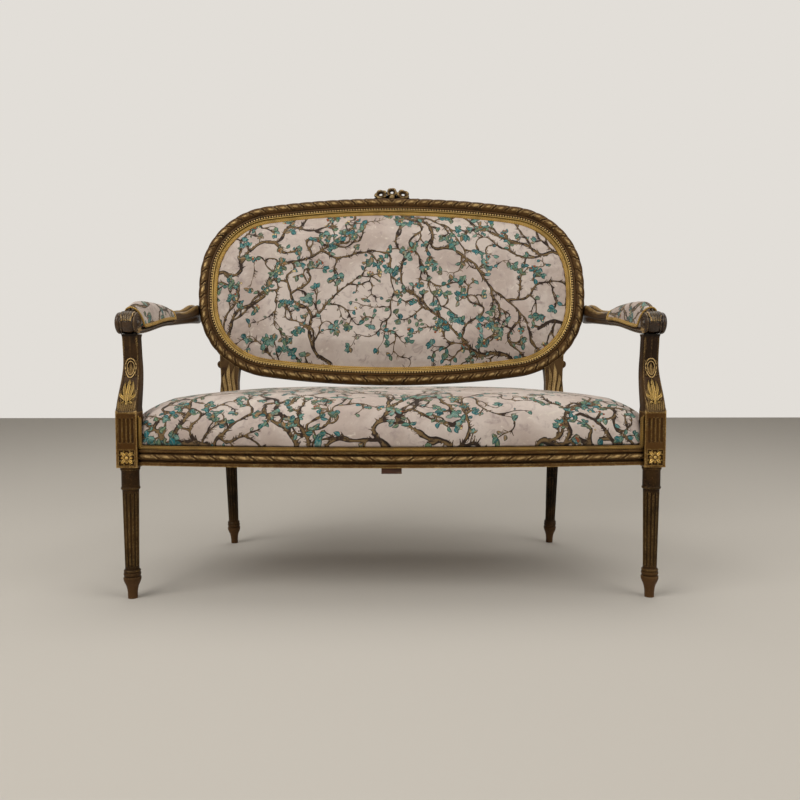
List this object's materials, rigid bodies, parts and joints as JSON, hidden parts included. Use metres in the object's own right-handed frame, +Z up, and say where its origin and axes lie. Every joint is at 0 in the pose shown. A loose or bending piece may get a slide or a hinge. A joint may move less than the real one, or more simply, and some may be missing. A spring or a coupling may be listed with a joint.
{
  "type": "settee",
  "caption": "Two-seat settee with a carved oval padded back, open padded arms, bowed front rail, sprung seat and turned fluted legs.",
  "frame": {"origin": "on the floor, under the middle of the settee's box", "axes": "the settee faces -Y, +X is to the right of the picture, +Z is up"},
  "size_m": [1.228, 0.6756, 1.0305],
  "materials": {
    "worn_gilt": "old worn gilding: dark bronze ground with gold on the raised carving",
    "bare_wood": "bare hardwood",
    "steel": "dull screw steel",
    "spring_steel": "dull spring wire",
    "jute": "coarse jute weave",
    "stuffing": "hair and felt",
    "printed_cloth": "short-pile cloth printed with trailing sprigs",
    "braid": "mustard-gold satin braid"
  },
  "bodies": {
    "root": {"front_leg_left": "worn_gilt", "front_leg_right": "worn_gilt", "rear_leg_left": "worn_gilt", "rear_leg_right": "worn_gilt", "front_rail": "worn_gilt", "side_rail_left": "worn_gilt", "side_rail_right": "worn_gilt", "rear_rail": "worn_gilt", "corner_blocks": "bare_wood", "corner_screws": "steel", "centre_batten": "bare_wood", "batten_screws": "steel", "arm_support_left": "worn_gilt", "arm_support_right": "worn_gilt", "arm_left": "worn_gilt", "arm_right": "worn_gilt", "support_dowels": "bare_wood", "arm_dowels": "bare_wood", "back_top_rail": "worn_gilt", "back_bottom_rail": "worn_gilt", "back_side_left": "worn_gilt", "back_side_right": "worn_gilt", "back_upper_corner_left": "worn_gilt", "back_upper_corner_right": "worn_gilt", "back_lower_corner_left": "worn_gilt", "back_lower_corner_right": "worn_gilt", "oval_dowels": "bare_wood", "stile_dowels": "bare_wood", "crest_bow": "worn_gilt", "seat_straps_front_to_back": "jute", "seat_straps_side_to_side": "jute", "seat_springs": "spring_steel", "spring_canvas": "jute", "seat_stuffing": "stuffing", "seat_cover": "printed_cloth", "seat_braid": "braid", "back_straps_upright": "jute", "back_straps_across": "jute", "back_stuffing": "stuffing", "back_cover": "printed_cloth", "back_braid": "braid", "rear_cover": "printed_cloth", "rear_braid": "braid", "arm_stuffing_left": "stuffing", "arm_stuffing_right": "stuffing", "arm_cover_left": "printed_cloth", "arm_cover_right": "printed_cloth", "arm_braid_left": "braid", "arm_braid_right": "braid"}
  },
  "joints": []
}
